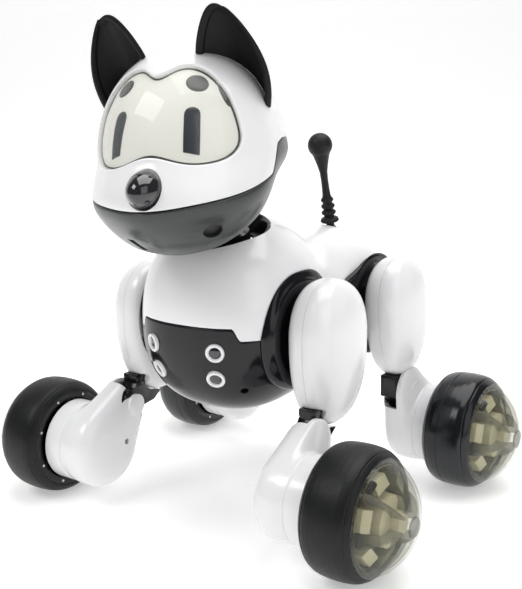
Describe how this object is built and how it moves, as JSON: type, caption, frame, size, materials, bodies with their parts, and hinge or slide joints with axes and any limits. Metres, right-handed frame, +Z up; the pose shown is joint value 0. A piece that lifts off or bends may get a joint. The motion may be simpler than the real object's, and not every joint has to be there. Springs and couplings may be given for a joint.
{
  "type": "quadruped robot dog",
  "caption": "White toy-like quadruped robot dog with a turning, nodding visored head, cupped ears, jointed legs that end in domed wheels, and a springy tail.",
  "frame": {"origin": "on the floor, below the middle of the whole dog: midway between its sides, and midway between the tip of its nose and the back of its rear wheels", "axes": "-Y is the way the dog faces, +X is its left side, +Z is up"},
  "size_m": [0.233, 0.1996, 0.236],
  "materials": {
    "white_shell": "gloss moulded ABS",
    "black_gloss": "gloss moulded ABS",
    "black_matte": "matte moulded plastic",
    "jaw_grey": "satin dark grey plastic",
    "pearl": "pearly translucent visor",
    "panel": "matte cream panel",
    "lamp": "dark blue-grey lens",
    "lens": "dark sensor lens",
    "ear_rubber": "soft black rubber",
    "tail_rubber": "soft black rubber",
    "tread": "black tyre rubber",
    "smoke": "smoky translucent dome",
    "steel": "brushed",
    "board": "circuit board",
    "cell": "wrapped battery cells",
    "grille": "speaker cone and frame"
  },
  "bodies": {
    "torso": {"chest_shell": "white_shell", "chest_bib": "black_gloss", "sensor_rings": "white_shell", "sensor_lenses": "lens", "leg_rings": "black_gloss", "torso_frame": "black_matte", "rump_shell": "white_shell", "battery_door": "white_shell", "battery_pack": "cell", "main_board": "board", "speaker": "grille", "torso_screws": "steel", "neck_collar": "black_matte", "neck_motor": "black_matte"},
    "power_switch": {"power_switch": "black_matte"},
    "neck": {"neck_yoke": "black_gloss"},
    "head": {"neck_pin": "steel", "head_shell": "white_shell", "jaw_shell": "jaw_grey", "jaw_base": "jaw_grey", "visor": "pearl", "face_panel": "panel", "eye_lamps": "lamp", "ear_left": "ear_rubber", "ear_right": "ear_rubber", "head_screws": "steel"},
    "nose": {"nose_button": "black_gloss"},
    "tail": {"tail": "tail_rubber"},
    "front_left_thigh": {"fl_thigh_outer": "white_shell", "fl_thigh_inner": "white_shell", "fl_knee_link": "black_gloss"},
    "front_left_shin": {"fl_shin": "white_shell", "fl_motor": "black_matte"},
    "front_left_wheel": {"fl_rim": "black_gloss", "fl_tyre": "tread", "fl_dome": "smoke"},
    "front_right_thigh": {"fr_thigh_outer": "white_shell", "fr_thigh_inner": "white_shell", "fr_knee_link": "black_gloss"},
    "front_right_shin": {"fr_shin": "white_shell", "fr_motor": "black_matte"},
    "front_right_wheel": {"fr_rim": "black_gloss", "fr_tyre": "tread", "fr_dome": "smoke"},
    "rear_left_thigh": {"rl_thigh_outer": "white_shell", "rl_thigh_inner": "white_shell", "rl_knee_link": "black_gloss"},
    "rear_left_shin": {"rl_shin": "white_shell", "rl_motor": "black_matte"},
    "rear_left_wheel": {"rl_rim": "black_gloss", "rl_tyre": "tread", "rl_dome": "smoke"},
    "rear_right_thigh": {"rr_thigh_outer": "white_shell", "rr_thigh_inner": "white_shell", "rr_knee_link": "black_gloss"},
    "rear_right_shin": {"rr_shin": "white_shell", "rr_motor": "black_matte"},
    "rear_right_wheel": {"rr_rim": "black_gloss", "rr_tyre": "tread", "rr_dome": "smoke"}
  },
  "joints": [
    {"name": "neck_turn", "type": "hinge", "parent": "torso", "child": "neck", "pos_m": [0, -0.01884, 0.137], "axis": [0, -0.2079, 0.9781], "range_deg": [-76, 44]},
    {"name": "head_nod", "type": "hinge", "parent": "neck", "child": "head", "pos_m": [0, -0.02342, 0.15852], "axis": [0.9613, 0.2696, 0.0573], "range_deg": [-8, 8]},
    {"name": "nose_press", "type": "slide", "parent": "head", "child": "nose", "axis": [-0.2753, 0.9498, 0.1484], "range_m": [0, 0.0015], "stiffness_N_per_m": 400},
    {"name": "tail_wag", "type": "hinge", "parent": "torso", "child": "tail", "pos_m": [0, 0.08116, 0.124], "axis": [0, 1, 0], "range_deg": [-12, 12]},
    {"name": "power_slide", "type": "slide", "parent": "torso", "child": "power_switch", "axis": [1, 0, 0], "range_m": [0, 0.003]},
    {"name": "front_left_hip", "type": "hinge", "parent": "torso", "child": "front_left_thigh", "pos_m": [0.045, -0.00784, 0.091], "axis": [1, 0, 0], "range_deg": [-50, 15]},
    {"name": "front_left_knee", "type": "hinge", "parent": "front_left_thigh", "child": "front_left_shin", "pos_m": [0.053, -0.03034, 0.047], "axis": [1, 0, 0], "range_deg": [-20, 20]},
    {"name": "front_left_spin", "type": "hinge", "parent": "front_left_shin", "child": "front_left_wheel", "pos_m": [0.0887, -0.04654, 0.029], "axis": [1, 0, 0], "continuous": true},
    {"name": "front_right_hip", "type": "hinge", "parent": "torso", "child": "front_right_thigh", "pos_m": [-0.045, -0.00784, 0.091], "axis": [1, 0, 0], "range_deg": [-50, 15]},
    {"name": "front_right_knee", "type": "hinge", "parent": "front_right_thigh", "child": "front_right_shin", "pos_m": [-0.053, -0.03034, 0.047], "axis": [1, 0, 0], "range_deg": [-20, 20]},
    {"name": "front_right_spin", "type": "hinge", "parent": "front_right_shin", "child": "front_right_wheel", "pos_m": [-0.0887, -0.04654, 0.029], "axis": [1, 0, 0], "continuous": true},
    {"name": "rear_left_hip", "type": "hinge", "parent": "torso", "child": "rear_left_thigh", "pos_m": [0.045, 0.05916, 0.092], "axis": [1, 0, 0], "range_deg": [-12, 45]},
    {"name": "rear_left_knee", "type": "hinge", "parent": "rear_left_thigh", "child": "rear_left_shin", "pos_m": [0.053, 0.06116, 0.0475], "axis": [1, 0, 0], "range_deg": [-15, 8]},
    {"name": "rear_left_spin", "type": "hinge", "parent": "rear_left_shin", "child": "rear_left_wheel", "pos_m": [0.086, 0.07086, 0.029], "axis": [1, 0, 0], "continuous": true},
    {"name": "rear_right_hip", "type": "hinge", "parent": "torso", "child": "rear_right_thigh", "pos_m": [-0.045, 0.05916, 0.092], "axis": [1, 0, 0], "range_deg": [-12, 45]},
    {"name": "rear_right_knee", "type": "hinge", "parent": "rear_right_thigh", "child": "rear_right_shin", "pos_m": [-0.053, 0.06116, 0.0475], "axis": [1, 0, 0], "range_deg": [-15, 8]},
    {"name": "rear_right_spin", "type": "hinge", "parent": "rear_right_shin", "child": "rear_right_wheel", "pos_m": [-0.086, 0.07086, 0.029], "axis": [1, 0, 0], "continuous": true}
  ]
}
